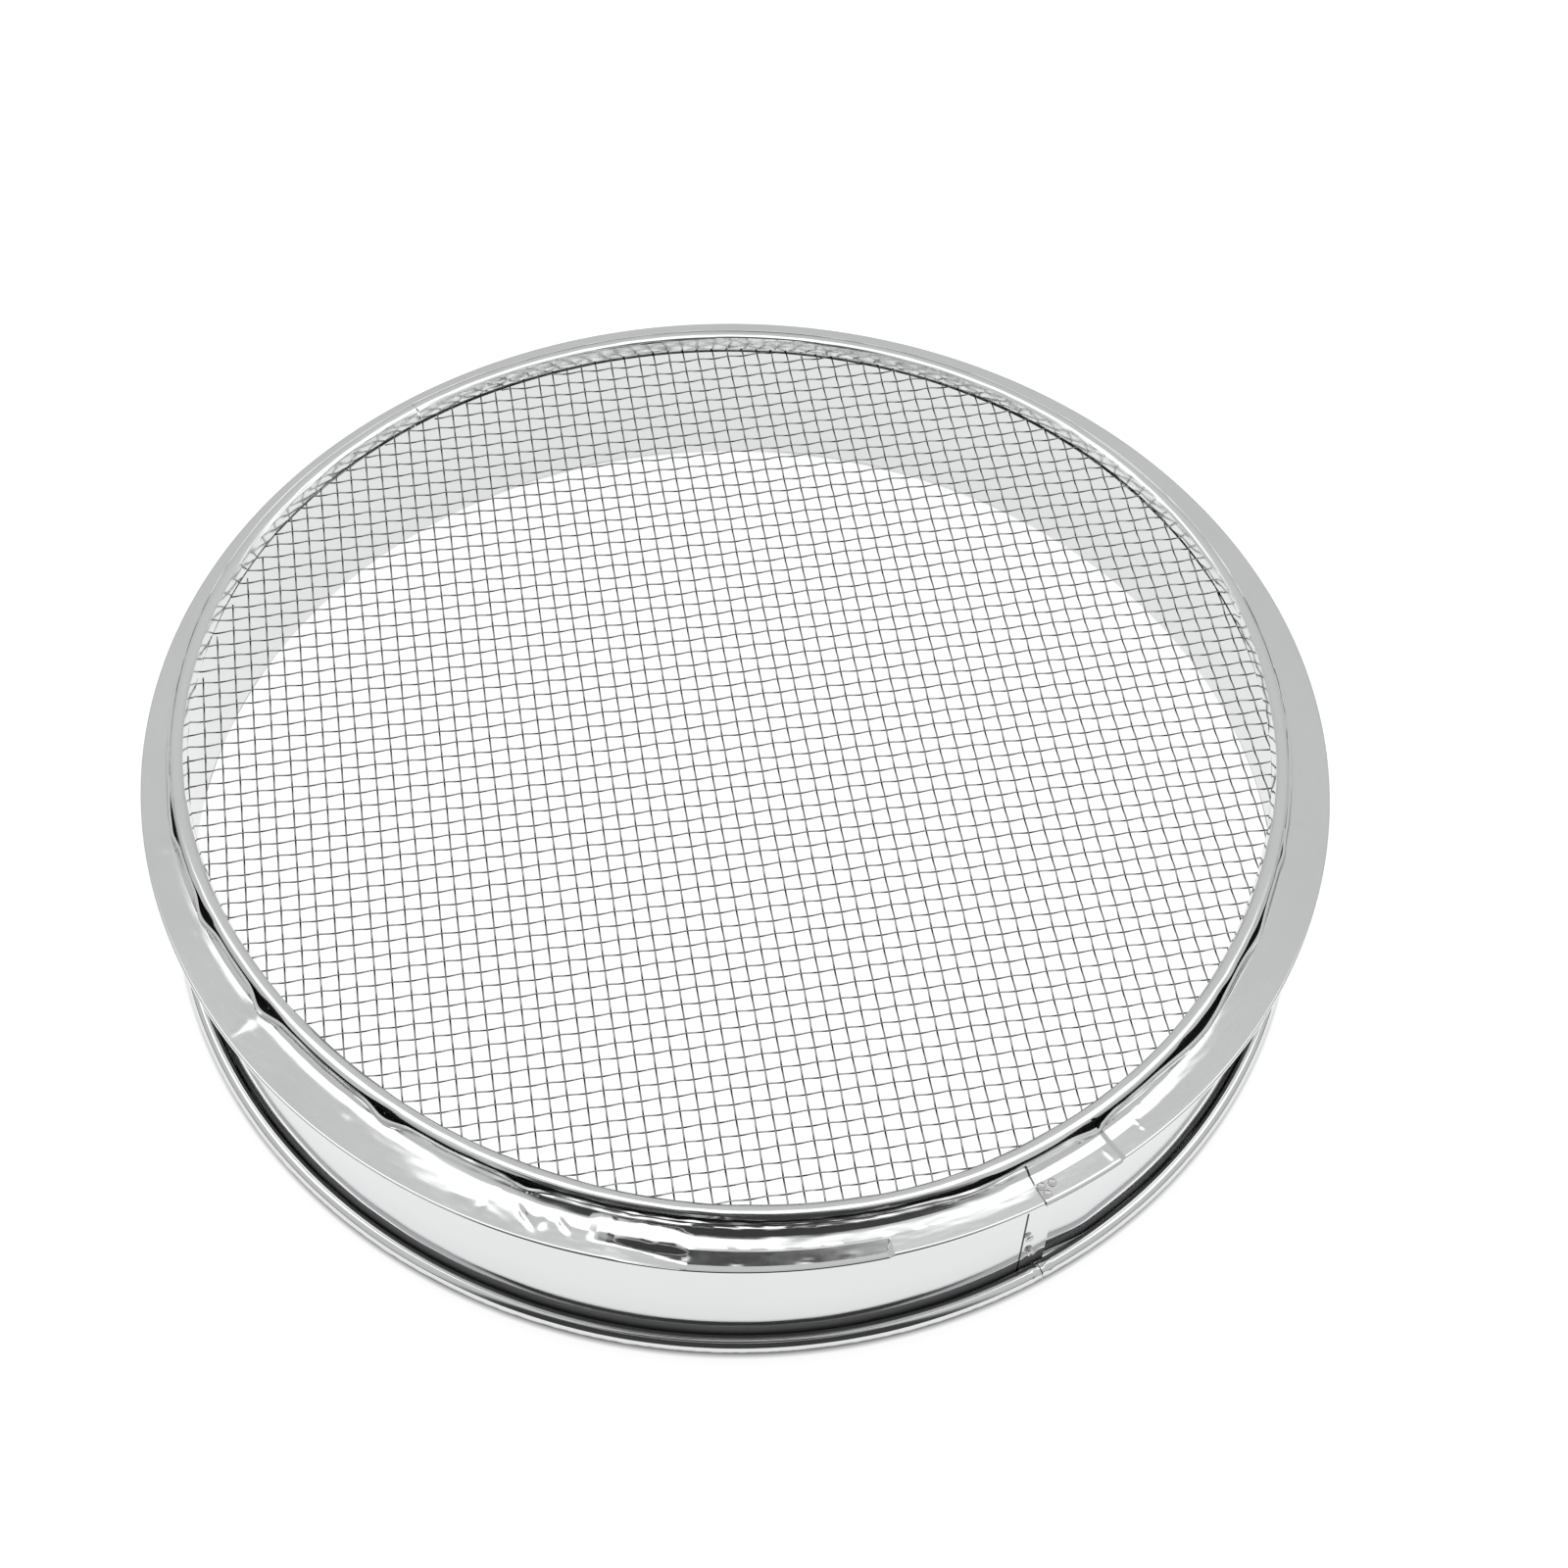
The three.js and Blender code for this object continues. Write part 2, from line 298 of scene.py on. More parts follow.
def sweep_sheet(name, middles, angles, material, sharp=SHARP):
    """A strip of sheet bent round +Z, from the outline of its middle at each station."""
    normals = normals_of(middles)
    upper = middles + normals * (SHEET / 2)
    lower = middles - normals * (SHEET / 2)
    outline = np.concatenate([upper, lower[:, ::-1, :]], axis=1)
    turned = np.radians(angles)[:, None]
    radius, height = outline[:, :, 0], outline[:, :, 1]
    points = np.stack([radius * np.cos(turned), radius * np.sin(turned), height], axis=-1)
    rows, columns = radius.shape
    faces = grid_faces(rows, columns).tolist()
    half = middles.shape[1]
    last = (rows - 1) * columns
    for k in range(half - 1):
        other = columns - 1 - k
        faces.append([k, k + 1, other - 1, other])
        faces.append([last + other, last + other - 1, last + k + 1, last + k])
    return mesh_object(name, points.reshape(-1, 3), faces, material, sharp)


def lathe_disc(name, outline, material, spokes=36):
    """A small closed turned piece about its own +Z; the outline runs from the axis at the top to the axis
    at the bottom, as (radius, height)."""
    turned = np.linspace(0, 2 * math.pi, spokes, endpoint=False)
    rims = outline[1:-1]
    vertices = [(0, 0, outline[0][1])]
    vertices += [(r * math.cos(a), r * math.sin(a), z) for r, z in rims for a in turned]
    vertices.append((0, 0, outline[-1][1]))
    faces = []
    for k in range(spokes):
        after = (k + 1) % spokes
        faces.append([0, 1 + k, 1 + after])
        for j in range(len(rims) - 1):
            upper, lower = 1 + j * spokes, 1 + (j + 1) * spokes
            faces.append([upper + k, lower + k, lower + after, upper + after])
        bottom = 1 + (len(rims) - 1) * spokes
        faces.append([bottom + after, bottom + k, len(vertices) - 1])
    return mesh_object(name, vertices, faces, material)


# ---- Materials ----

# Noise in the materials, on the sheet and then on the wires: how fine it is, and how deep or uneven.
LINE_SCALE, LINE_STRETCH, LINE_DEPTH = 4200.0, 0.02, 0.02 * MM
PATCH_SCALE = 38.0
SPECK_SCALE = 900.0
# Specular level of the sheets; it shows where painted shade makes them less metallic.
SHADE_SPECULAR = 0.05
# Painted shade bands on the sheet: the scale and depth of the noise on their edges, and the length in y over
# which they fade out.
SHADE_NOISE_SCALE, SHADE_UNEVEN, SHADE_FADE = 420.0, 0.8 * MM, 10.0 * MM
# Random stains on the wires (scale and smear), and the tone left in the painted shade where a wire dips under
# another.
STAIN_SCALE, STAIN_SMEAR, UNDER_SHADE_LEFT = 60.0, 0.25, 0.03
GRAIN_SCALE, GRAIN_STRENGTH, GRAIN_DEPTH = 2600.0, 0.25, 0.03 * MM


class Nodes:
    """A short way to add and join shader nodes."""

    def __init__(self, tree):
        self.tree = tree

    def add(self, kind, **settings):
        node = self.tree.nodes.new(kind)
        for key, value in settings.items():
            setattr(node, key, value)
        return node

    def join(self, source, target):
        self.tree.links.new(source, target)

    def math(self, operation, first, second=None):
        node = self.add("ShaderNodeMath", operation=operation)
        for socket, value in zip(node.inputs, (first, second)):
            if value is None:
                continue
            if isinstance(value, (int, float)):
                socket.default_value = value
            else:
                self.join(value, socket)
        return node.outputs[0]

    def noise(self, vector, scale, detail=3.0, roughness=0.5):
        node = self.add("ShaderNodeTexNoise")
        node.inputs["Scale"].default_value = scale
        node.inputs["Detail"].default_value = detail
        node.inputs["Roughness"].default_value = roughness
        self.join(vector, node.inputs["Vector"])
        return node.outputs["Fac"]

    def spread(self, value, low, high, to_low, to_high):
        """Maps low..high onto to_low..to_high, and keeps the end levels outside that range."""
        node = self.add("ShaderNodeMapRange")
        for key, number in (("From Min", low), ("From Max", high), ("To Min", to_low), ("To Max", to_high)):
            node.inputs[key].default_value = number
        self.join(value, node.inputs["Value"])
        return node.outputs[0]

    def ramp(self, value, stops):
        """Greys by (place, grey) stops."""
        node = self.add("ShaderNodeValToRGB")
        elements = node.color_ramp.elements
        while len(elements) < len(stops):
            elements.new(0.5)
        for element, (place, grey) in zip(elements, stops):
            element.position = place
            element.color = (grey, grey, grey, 1)
        self.join(value, node.inputs["Fac"])
        return node.outputs["Color"]

    def split(self, vector):
        node = self.add("ShaderNodeSeparateXYZ")
        self.join(vector, node.inputs[0])
        return node.outputs

    def distance(self, x, y):
        """Distance from the axis."""
        squares = self.math("ADD", self.math("MULTIPLY", x, x), self.math("MULTIPLY", y, y))
        return self.math("SQRT", squares)

    def tinted(self, base, smear, factor):
        """A colour from base less smear to base plus smear."""
        node = self.add("ShaderNodeMix", data_type="RGBA")
        node.inputs["A"].default_value = (*[c * (1 - smear) for c in base], 1)
        node.inputs["B"].default_value = (*[min(1, c * (1 + smear)) for c in base], 1)
        self.join(factor, node.inputs["Factor"])
        return node.outputs["Result"]

    def darkened(self, colour, mask):
        """A colour times a mask from 0 to 1."""
        node = self.add("ShaderNodeMix", data_type="RGBA", blend_type="MULTIPLY")
        node.inputs["Factor"].default_value = 1.0
        self.join(colour, node.inputs["A"])
        self.join(mask, node.inputs["B"])
        return node.outputs["Result"]

    def relief(self, height, strength, depth, shader):
        """Bumps the shader's surface."""
        node = self.add("ShaderNodeBump")
        node.inputs["Strength"].default_value = strength
        node.inputs["Distance"].default_value = depth
        self.join(height, node.inputs["Height"])
        self.join(node.outputs[0], shader.inputs["Normal"])

    def output(self, shader):
        node = self.add("ShaderNodeOutputMaterial")
        self.join(shader.outputs[0], node.inputs["Surface"])


def new_material(name):
    material = bpy.data.materials.new(name)
    material.use_nodes = True
    material.node_tree.nodes.clear()
    return material, Nodes(material.node_tree)


def polar_vector(nodes):
    """Object coordinates unrolled into (length round the ring, radius, height)."""
    place = nodes.add("ShaderNodeTexCoord").outputs["Object"]
    x, y, z = nodes.split(place)
    angle = nodes.math("ARCTAN2", y, x)
    joined = nodes.add("ShaderNodeCombineXYZ")
    nodes.join(nodes.math("MULTIPLY", angle, LIP_RADIUS), joined.inputs[0])
    nodes.join(nodes.distance(x, y), joined.inputs[1])
    nodes.join(z, joined.inputs[2])
    return place, joined.outputs[0]


def painted_shade_masks(nodes, place, height_up, shade_bands):
    """Masks of painted shade, dark below or above a height on a piece. Shade_bands lists (shaded height,
    unshaded height, tone left in the shade, how much higher it reaches on outer faces, y where it ends)."""
    uneven = nodes.math("SUBTRACT", nodes.noise(place, SHADE_NOISE_SCALE, 2.0), 0.5)
    uneven = nodes.math("MULTIPLY", uneven, SHADE_UNEVEN)
    facing = nodes.add("ShaderNodeVectorMath", operation="DOT_PRODUCT")
    nodes.join(place, facing.inputs[0])
    nodes.join(nodes.add("ShaderNodeNewGeometry").outputs["Normal"], facing.inputs[1])
    y = nodes.split(place)[1]
    masks = []
    for shaded_level, unshaded_level, left, outer_rise, end_y in shade_bands:
        outer = nodes.spread(facing.outputs["Value"], -0.02, 0.02, 0.0, outer_rise)
        level = nodes.math("SUBTRACT", nodes.math("ADD", height_up, uneven), outer)
        past_end = nodes.spread(y, end_y - SHADE_FADE, end_y, 0.0, 1.0)
        masks.append(nodes.math("MAXIMUM", nodes.spread(level, shaded_level, unshaded_level, left, 1.0), past_end))
    return masks


def seam_shadow_mask(nodes, along, radius, seam_shadow):
    """A mask of painted shadow along a lap joint. Seam_shadow is (angle, half width, tone left in it,
    smallest radius).
    """
    angle, half_width, left, from_radius = seam_shadow
    offset = nodes.math("SUBTRACT", along, math.radians(angle) * LIP_RADIUS)
    beside = nodes.math("ABSOLUTE", offset)
    dark = nodes.spread(beside, 0.7 * half_width, half_width, left, 1.0)
    inside = nodes.spread(radius, from_radius - 0.3 * MM, from_radius, 1.0, 0.0)
    return nodes.math("MAXIMUM", dark, inside)


def polished_sheet(name, base, rough, line_strength, smear=0.05, shade_bands=(), seam_shadow=None):
    """Bright rolled stainless sheet: fine lines along the strip, faint smears and an uneven polish."""
    material, nodes = new_material(name)
    place, unrolled = polar_vector(nodes)
    along, radius, height_up = nodes.split(unrolled)
    stretch = nodes.add("ShaderNodeMapping")
    stretch.inputs["Scale"].default_value = (LINE_STRETCH, 1.0, 1.0)
    nodes.join(unrolled, stretch.inputs["Vector"])
    lines = nodes.noise(stretch.outputs[0], LINE_SCALE, 2.0)
    patches = nodes.noise(place, PATCH_SCALE, 4.0, 0.6)
    specks = nodes.noise(place, SPECK_SCALE, 2.0)
    tone = nodes.math("ADD", nodes.math("MULTIPLY", patches, 0.6), nodes.math("MULTIPLY", lines, 0.4))
    surface = nodes.tinted(base, smear, tone)
    # Painted shade: dark bands by height, and a painted shadow along a lap seam, darken the sheet and make it
    # less metallic.
    masks = painted_shade_masks(nodes, place, height_up, shade_bands) if shade_bands else []
    if seam_shadow:
        masks.append(seam_shadow_mask(nodes, along, radius, seam_shadow))
    shader = nodes.add("ShaderNodeBsdfPrincipled")
    shader.inputs["Metallic"].default_value = 1.0
    shader.inputs["Specular IOR Level"].default_value = SHADE_SPECULAR
    if masks:
        unshaded = masks[0]
        for mask in masks[1:]:
            unshaded = nodes.math("MULTIPLY", unshaded, mask)
        surface = nodes.darkened(surface, unshaded)
        nodes.join(nodes.spread(unshaded, 0.1, 0.6, 0.0, 1.0), shader.inputs["Metallic"])
    nodes.join(surface, shader.inputs["Base Color"])
    worn = nodes.math("ADD", nodes.math("MULTIPLY", patches, 0.7), nodes.math("MULTIPLY", specks, 0.3))
    nodes.join(nodes.spread(worn, 0.3, 0.7, *rough), shader.inputs["Roughness"])
    nodes.relief(lines, line_strength, LINE_DEPTH, shader)
    nodes.output(shader)
    return material


def drawn_wire(name, base, rough, under_shade=None):
    """Drawn stainless wire: a little stained, with fine pitting. Under_shade is (dark height, unshaded
    height), for the painted shade where a wire dips under the one that crosses it."""
    material, nodes = new_material(name)
    place = nodes.add("ShaderNodeTexCoord").outputs["Object"]
    surface = nodes.tinted(base, STAIN_SMEAR, nodes.noise(place, STAIN_SCALE, 4.0, 0.6))
    grain = nodes.noise(place, GRAIN_SCALE, 2.0)
    if under_shade:
        # Painted shade: the wire is darker where it dips low, under a crossing wire.
        height = nodes.split(place)[2]
        surface = nodes.darkened(surface, nodes.spread(height, *under_shade, UNDER_SHADE_LEFT, 1.0))
    shader = nodes.add("ShaderNodeBsdfPrincipled")
    shader.inputs["Metallic"].default_value = 1.0
    nodes.join(surface, shader.inputs["Base Color"])
    nodes.join(nodes.spread(grain, 0.3, 0.7, *rough), shader.inputs["Roughness"])
    nodes.relief(grain, GRAIN_STRENGTH, GRAIN_DEPTH, shader)
    nodes.output(shader)
    return material


WALL_STEEL = polished_sheet(
    "wall_steel",
    base=(0.73, 0.735, 0.74),
    rough=(0.05, 0.10),
    line_strength=0.08,
    smear=0.03,
    shade_bands=[
        # Painted reflection: a dark band on the lowest 8 mm of the outer wall stands in for the mirrored bead
        # and its shadow. Painted shade: the top of the wall under the hoop, front half only.
        (FLOOR_Z, FLOOR_Z + 0.7 * MM, 0.34, 8.0 * MM, 1.0),
        (LEDGE_MIDDLE + 1.1 * MM, LEDGE_MIDDLE + 0.4 * MM, 0.05, -1.0 * MM, 0.0),
    ],
    # Painted shadow in the wall's lap joint.
    seam_shadow=(WALL_SEAM - 0.1, 0.34 * MM, 0.06, 0.0),
)
BEAD_STEEL = polished_sheet(
    "bead_steel",
    base=(0.74, 0.745, 0.75),
    rough=(0.07, 0.14),
    line_strength=0.10,
    smear=0.04,
    shade_bands=[
        # Painted shade on the bead's outer underside, and in the crease where its top meets the wall.
        (FLOOR_Z - 1.0 * MM, FLOOR_Z - 0.2 * MM, 0.12, 3.0 * MM, 1.0),
        (FLOOR_Z + 3.9 * MM, FLOOR_Z + 3.3 * MM, 0.25, 6.0 * MM, 1.0),
    ],
)
HOOP_STEEL = polished_sheet(
    "hoop_steel",
    base=(0.74, 0.745, 0.75),
    rough=(0.10, 0.20),
    line_strength=0.15,
    # Painted shadow in the hoop's lap joint.
    seam_shadow=(HOOP_SEAM - 0.055, 0.10 * MM, 0.25, LIP_RADIUS - 4.2 * MM),
)
RING_STEEL = polished_sheet(
    "ring_steel",
    base=(0.76, 0.765, 0.77),
    rough=(0.10, 0.18),
    line_strength=0.12,
    # Painted shadow along the channel's foot where it stands on the cloth, front half only.
    shade_bands=[(RING_FOOT - 0.1 * MM, RING_FOOT + 0.4 * MM, 0.05, 1.6 * MM, 0.0)],
)
WELD_STEEL = polished_sheet(
    "weld_steel", base=(0.58, 0.575, 0.57), rough=(0.22, 0.40), line_strength=0.25, smear=0.15
)
# Painted shade on the low parts of the wires, where they dip under a crossing wire.
WIRE_UNDER_SHADE = (CLOTH_Z - 0.05 * MM, CLOTH_Z + 0.15 * MM)
# Both families are the same steel: the warp's darker base is painted shade and the weft's lighter base is
# painted light.
WARP_WIRE_SHADED = drawn_wire("warp_wire", (0.31, 0.313, 0.316), (0.08, 0.16), WIRE_UNDER_SHADE)
WEFT_WIRE_LIT = drawn_wire("weft_wire", (0.54, 0.543, 0.547), (0.08, 0.16), WIRE_UNDER_SHADE)
CORE_WIRE = drawn_wire("core_wire", (0.42, 0.42, 0.42), (0.35, 0.5))


def finish_piece(piece, nodes):
    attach(piece, "root")
    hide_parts(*nodes)


# ---- Frame wall ----

LEDGE_FILLET = 0.9 * MM
LEDGE_START = 1.0 * MM  # in from the wall; from here on the ledge follows the ring's push
RIM_ARC = (180, 478, 9)  # first and last angle of the rolled outline and the step between its points
RIM_CRIMP = 1.1  # degrees either side of the joint that are crumpled
RIM_CLEARANCE = 0.08 * MM  # between the rim and the CAD box's floor
# Waves round a piece: height (mm), fewest and most per turn, seed.
WALL_WAVES = [(0.10, 3, 9, 5), (0.012, 20, 70, 6)]
RIM_WAVES = [(0.03, 6, 40, 9)]
# Crumpling of a piece: height (mm), (fewest, most) waves per turn, seed.
RIM_CRUMPLE = (0.05, (150, 420), 10)


def lap_step(angles, radius, lap, slope):
    """1 on the lapped end, which lies over the other end, down to 0 past it."""
    length = np.radians(angles - angles[0]) * radius
    return 1.0 - smoothstep((length - lap) / slope)


def frame_band():
    """The band of sheet, with a narrow ledge turned inwards at the mesh end."""
    corners = [
        (LEDGE_RADIUS, LEDGE_MIDDLE, 0),
        (WALL_MIDDLE, LEDGE_MIDDLE, LEDGE_FILLET),
        (WALL_MIDDLE, BEAD_CENTRE[1], 0),
    ]
    path = rounded_path(corners, WALL_SPACING)
    lap = math.degrees(WALL_LAP / WALL_MIDDLE)
    angles = stations(WALL_SEAM, 0.0, lap, [(WALL_SEAM + lap, 1.5, 0.08)])
    away = lap_step(angles, WALL_MIDDLE, WALL_LAP, WALL_LAP_SLOPE) * LAYER_STEP
    away = away + waviness(angles, WALL_WAVES)
    middles = stood_off(repeated(path, angles), -away[:, None] * np.ones(len(path)))
    on_ledge = smoothstep((WALL_MIDDLE - LEDGE_START - path[:, 0]) / (LEDGE_WIDTH - LEDGE_START))
    middles[:, :, 0] += ring_push(angles)[:, None] * on_ledge[None, :]
    return sweep_sheet("frame_band", middles, angles, WALL_STEEL)


def frame_bead():
    """The rolled rim; its two ends meet at a butt joint, where the sheet is crumpled."""
    path = np.array(arc(BEAD_CENTRE, BEAD_MIDDLE, *RIM_ARC))[::-1]
    angles = stations(RIM_SEAM, 0.05, -0.05, [(RIM_SEAM, 2.0, 0.1)])
    away = waviness(angles, RIM_WAVES)[:, None] * np.ones(len(path))
    crimped = bump(angle_between(angles, RIM_SEAM), RIM_CRIMP)[:, None]
    away = away + crumple(angles, path_lengths(path), *RIM_CRUMPLE) * crimped
    middles = stood_off(repeated(path, angles), away)
    middles[:, :, 1] += RIM_CLEARANCE
    return sweep_sheet("frame_bead", middles, angles, BEAD_STEEL)


finish_piece(frame_band(), ["frame_wall"])
finish_piece(frame_bead(), ["frame_wall"])


# ---- Clamp hoop ----

# Shapes of the brim: (distance inwards from the lip, rise), in mm.
CONE = [(0, 0), (5.0, 0), (7.4, 0.62), (8.0, 1.1), (8.7, 1.6), (9.2, 1.4), (9.5, 0)]
SIDE_CONE = [(0, 0), (6.7, 0), (8.2, 0.28), (8.8, 0.55), (9.2, 0.5), (9.5, 0)]
SOFT = [(0, 0), (2.8, 0), (5.0, 0.15), (9.5, 0.15)]
FOLD = [(0, 0), (3.2, 0), (5.0, 0.92), (7.4, 0.6), (8.0, 0.32), (8.7, 0.05), (9.5, 0)]
# How much of each shape there is, by angle.
CONE_SHARE = [
    (-180, 0), (-130, 0.0), (-120, 0.3), (-104, 1), (-54, 1), (-51, 0.75), (-42, 0.45), (-30, 0), (0, 0),
]
SIDE_SHARE = [
    (-180, 0), (-168, 0), (-162, 0.7), (-155, 1), (-118, 0.8), (-105, 0), (-45, 0), (-38, 0.6), (-30, 0),
    (0, 0),
]
SOFT_SHARE = [
    (-180, 0), (-122, 0), (-118, 1), (-109, 0.8), (-106, 0), (-74, 0), (-70, 0.5), (-61, 0.9), (-60, 0.2),
    (-53, 0.3), (-52.4, 0),
]
FOLD_SHARE = [
    (-180, 0), (-101.2, 0), (-100.8, 0.95), (-99.4, 1.05), (-98.9, 0.75), (-98.4, 1), (-96.2, 1.1),
    (-95.8, 0.7), (-95.3, 1), (-93.5, 0.9), (-92.0, 0), (0, 0),
]
# Each shape with its share and the blur of the share (degrees).
BRIM_SHAPES = [
    (CONE, CONE_SHARE, 1.5), (SIDE_CONE, SIDE_SHARE, 1.5), (SOFT, SOFT_SHARE, 0.5), (FOLD, FOLD_SHARE, 0.2),
]
# Where the brim's edge is bent down: how steeply, where the slope starts (mm in from the lip) and how wide
# it is (mm, by angle). The outermost edge curls up again, by the slope's width over DROP_CURL.
DROP_SLOPE = 0.375
DROP_START = 4.3
DROP_WIDTH = [
    (-180, 0), (-99.5, 0), (-97.0, 1.0), (-94.5, 2.0), (-92.5, 2.8), (-75.0, 2.8), (-74.6, 0), (0, 0),
]
DROP_CURL = 28.0
EDGE_WIDTH = 1.5
# Dents in the brim: angle, distance in from the lip, length round, width across and height (mm).
DENTS = [
    (-163.5, 6.2, 1.6, 1.4, 0.20), (-163.3, 3.4, 0.5, 2.0, 0.08), (-153.0, 6.3, 2.2, 0.7, 0.12),
    (-141.3, 6.3, 2.9, 1.5, 0.30), (-141.0, 4.0, 1.5, 1.6, 0.14), (-140.7, 2.4, 0.7, 1.2, 0.08),
    (-127.0, 5.8, 1.4, 0.8, 0.10),
    (-113.5, 3.6, 2.6, 0.7, -0.16), (-111.2, 3.2, 0.8, 0.9, -0.24), (-105.5, 4.2, 1.0, 1.2, 0.20),
    (-92.6, 3.2, 0.8, 0.9, -0.12),
    (-88.0, 2.2, 1.6, 0.5, -0.12), (-82.0, 2.0, 1.8, 0.5, -0.14), (-78.0, 2.2, 1.2, 0.4, 0.10),
    (-48.6, 4.8, 0.45, 0.6, 0.14), (-48.6, 3.3, 0.35, 0.5, 0.12), (-53.0, 2.6, 0.6, 1.3, 0.14),
    (-9.2, 6.9, 0.7, 0.7, 0.16), (-28.0, 3.2, 1.8, 1.6, 0.05),
]
# Slanted ridges in the brim: the same, and the slant (mm in per mm round).
RIDGES = [(-107.3, 4.3, 2.3, 0.70, 0.52, -0.55), (-103.7, 4.8, 1.5, 0.65, 0.46, -0.55)]
# Where the hoop's top edge stands off the ring: angle, length round (mm), gap (mm).
STAND_OFFS = [
    (-166.0, 7.0, 0.6), (-164.0, 3.0, 0.5), (-153.5, 5.0, 1.3), (-141.0, 5.0, 1.8), (-123.5, 5.0, 1.5),
    (-108.0, 4.0, 1.1), (-66.0, 9.0, 0.8), (-52.5, 5.0, 1.3), (-37.0, 13.0, 1.5), (-24.0, 7.0, 0.9),
    (-13.5, 3.0, 0.4), (98.0, 22.0, 0.5),
]
# Stretches of the hoop with closer stations, and the bent front that is shaded smoothly (all degrees).
HOOP_FINE = [
    (-112.0, 3.0, 0.22), (-102.0, 7.0, 0.17), (-93.5, 1.5, 0.22), (-141.0, 2.5, 0.25), (-48.5, 1.5, 0.2),
    (-74.8, 0.6, 0.1),
]
HOOP_SHARP = 14.0
SMOOTH_ZONE = (-110.0, -92.5)
ZONE_SHARP = 50.0
HOOP_WAVES = [(0.03, 4, 14, 21)]
BRIM_CRUMPLE = (0.005, (30, 160), 22)
# The cove is crumpled more, most of all at the front.
COVE_CRUMPLE, FRONT_CRUMPLE, COVE_COUNTS = 0.012, 0.015, ((25, 140), 23)
COVE_PLACE, COVE_WIDTH, COVE_FILLET = 8.9 * MM, 1.6 * MM, 1.6 * MM
FRONT_ANGLE, FRONT_WIDTH = -88.0, 22.0
LIP_RAKE, LIP_FILLET = 0.05 * MM, 0.35 * MM
# How far the brim's shape fades out towards the lip, and how much of it the lip itself keeps.
LIP_FADE, LIP_KEEPS = 0.4 * MM, 0.4
# Distances in from the lip (place, range) at which the flat part ends, the brim comes to follow the ring's
# push, and the top edge stands off.
FLAT_ENDS = (9.3 * MM, 0.8 * MM)
PUSH_GROWS = (0.5 * MM, 7.7 * MM)
TOP_OPENS = (8.2 * MM, 1.2 * MM)


def inward_table(table, radius):
    """Reads a table of (mm in from the lip, mm) at the given radii."""
    places, levels = zip(*table)
    return np.interp((LIP_RADIUS - radius) / MM, places, levels) * MM


def clamp_hoop():
    """An angle hoop: a low upstand round the ring, a cove, and a flat brim with its edge turned down. The
    front of the brim is bent down and dented."""
    corners = [
        (LIP_RADIUS, LIP_Z, 0),
        (LIP_RADIUS - LIP_RAKE, BRIM_MIDDLE, LIP_FILLET),
        (LIP_RADIUS - EDGE_WIDTH * MM, BRIM_MIDDLE, 0),
        (LIP_RADIUS - DROP_START * MM, BRIM_MIDDLE, 0),
        (LIP_RADIUS - 5.0 * MM, BRIM_MIDDLE, 0),
        (LIP_RADIUS - BRIM_WIDTH, BRIM_MIDDLE, COVE_FILLET),
        (LIP_RADIUS - BRIM_WIDTH, HOOP_TOP, 0),
    ]
    path = rounded_path(corners, HOOP_SPACING)[::-1]
    lap = math.degrees(HOOP_LAP / LIP_RADIUS)
    angles = stations(HOOP_SEAM, 0.0, lap, [(HOOP_SEAM + lap, 1.0, 0.1)] + HOOP_FINE)
    radius = path[:, 0]
    inward = LIP_RADIUS - radius
    lift = sum(
        smooth_between(share, angles, blur)[:, None] * inward_table(shape, radius)[None, :]
        for shape, share, blur in BRIM_SHAPES
    )
    width = smooth_between(DROP_WIDTH, angles, 0.1)[:, None] * MM
    curl = width / DROP_CURL * np.clip(1.0 - inward / (EDGE_WIDTH * MM), 0, 1)[None, :]
    lift = lift - DROP_SLOPE * np.clip(DROP_START * MM - inward[None, :], 0, width) + curl
    for angle, place, length, width, height, slant in [(*dent, 0.0) for dent in DENTS] + RIDGES:
        round_way = np.radians(angle_between(angles, angle))[:, None] * LIP_RADIUS
        across = inward[None, :] - place * MM - slant * round_way
        lift = lift + height * MM * bump(round_way, length * MM) * bump(across, width * MM)
    middles = repeated(path, angles)
    middles[:, :, 1] += lift * smoothstep(inward / LIP_FADE + LIP_KEEPS)[None, :]

    flat = smoothstep(inward / (EDGE_WIDTH * MM)) * smoothstep((FLAT_ENDS[0] - inward) / FLAT_ENDS[1])
    cove = bump(inward - COVE_PLACE, COVE_WIDTH)[None, :]
    front = bump(angle_between(angles, FRONT_ANGLE), FRONT_WIDTH)[:, None]
    lengths = path_lengths(path)
    away = waviness(angles, HOOP_WAVES)[:, None] * flat[None, :]
    away = away + crumple(angles, lengths, *BRIM_CRUMPLE) * flat[None, :]
    away = away + crumple(angles, lengths, COVE_CRUMPLE + FRONT_CRUMPLE * front, *COVE_COUNTS) * cove
    away = away + (lap_step(angles, LIP_RADIUS, HOOP_LAP, HOOP_LAP_SLOPE) * LAYER_STEP)[:, None]
    middles = stood_off(middles, away)

    # The ring's push moves the upstand fully and the lip not at all; the gaps open at the top edge only.
    follow = np.clip((inward[None, :] - PUSH_GROWS[0]) / PUSH_GROWS[1], 0, 1)
    opening = sum(
        bump(np.radians(angle_between(angles, angle)) * LIP_RADIUS, length * MM) * gap * MM
        for angle, length, gap in STAND_OFFS
    )
    top = smoothstep((inward - TOP_OPENS[0]) / TOP_OPENS[1])
    middles[:, :, 0] += ring_push(angles)[:, None] * follow + opening[:, None] * top[None, :]
    hoop = sweep_sheet("hoop_sheet", middles, angles, HOOP_STEEL, HOOP_SHARP)
    smooth_zone(hoop, *SMOOTH_ZONE, ZONE_SHARP)
    return hoop


finish_piece(clamp_hoop(), ["clamp_hoop"])


